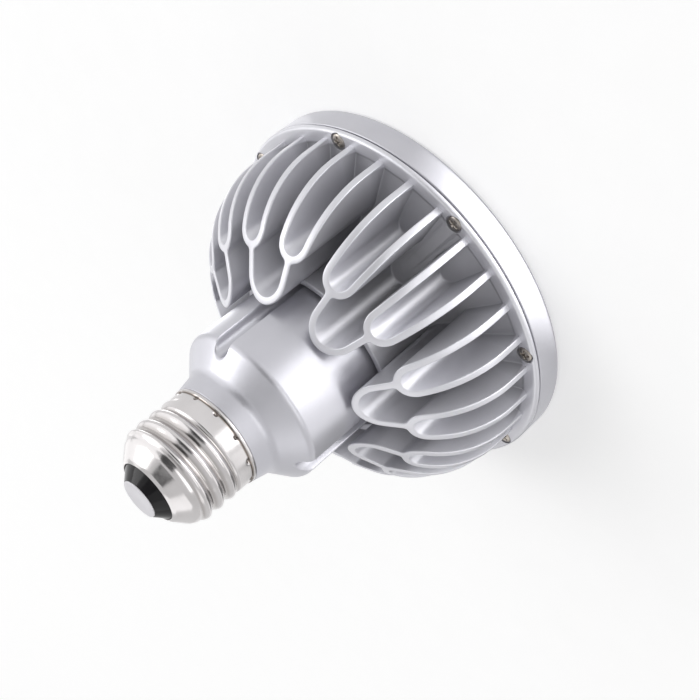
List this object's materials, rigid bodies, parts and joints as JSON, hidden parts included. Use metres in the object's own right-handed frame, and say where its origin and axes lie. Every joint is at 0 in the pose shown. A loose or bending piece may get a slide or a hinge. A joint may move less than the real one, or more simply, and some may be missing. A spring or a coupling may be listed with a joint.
{
  "type": "par spotlight bulb",
  "caption": "LED spotlight lamp with a flat round front, a silver die-cast heat sink of branching fins, a grooved neck and a nickel screw base.",
  "frame": {"origin": "centre of the front face, where the bezel stands on a surface", "axes": "+Z along the lamp's axis from the front face to the screw base; +Y through one of the bezel screws and one of the neck's grooves"},
  "size_m": [0.095, 0.095, 0.0878],
  "materials": {
    "cast_silver": "satin",
    "silver_plastic": "satin",
    "nickel": "polished",
    "insulator_black": "gloss",
    "tip_metal": "satin",
    "screw_steel": "satin",
    "clear_lens": "gloss",
    "gasket_rubber": "matte",
    "white_board": "matte",
    "led_phosphor": "gloss",
    "thermal_silicone": "matte",
    "green_board": "satin",
    "ferrite": "matte",
    "coil_tape": "satin",
    "capacitor_sleeve": "gloss",
    "film_resin": "gloss",
    "chip_resin": "matte",
    "resistor_coat": "satin",
    "wire_white": "satin",
    "wire_black": "satin",
    "wire_red": "satin"
  },
  "bodies": {
    "root": {"heat_sink": "cast_silver", "front_bezel": "cast_silver", "bezel_screws": "screw_steel", "front_optic": "clear_lens", "optic_gasket": "gasket_rubber", "led_board": "white_board", "led_emitter": "led_phosphor", "thermal_pad": "thermal_silicone", "led_board_screws": "screw_steel", "neck_housing": "silver_plastic", "neck_screws": "screw_steel", "screw_shell": "nickel", "base_insulator": "insulator_black", "tip_contact": "tip_metal", "driver_board": "green_board", "transformer_core": "ferrite", "transformer_coil": "coil_tape", "bulk_capacitor": "capacitor_sleeve", "film_capacitor": "film_resin", "filter_inductor": "ferrite", "bridge_rectifier": "chip_resin", "power_transistor": "chip_resin", "controller_chip": "chip_resin", "fuse_resistor": "resistor_coat", "led_leads": "wire_red", "line_lead": "wire_black", "neutral_lead": "wire_white"}
  },
  "joints": []
}
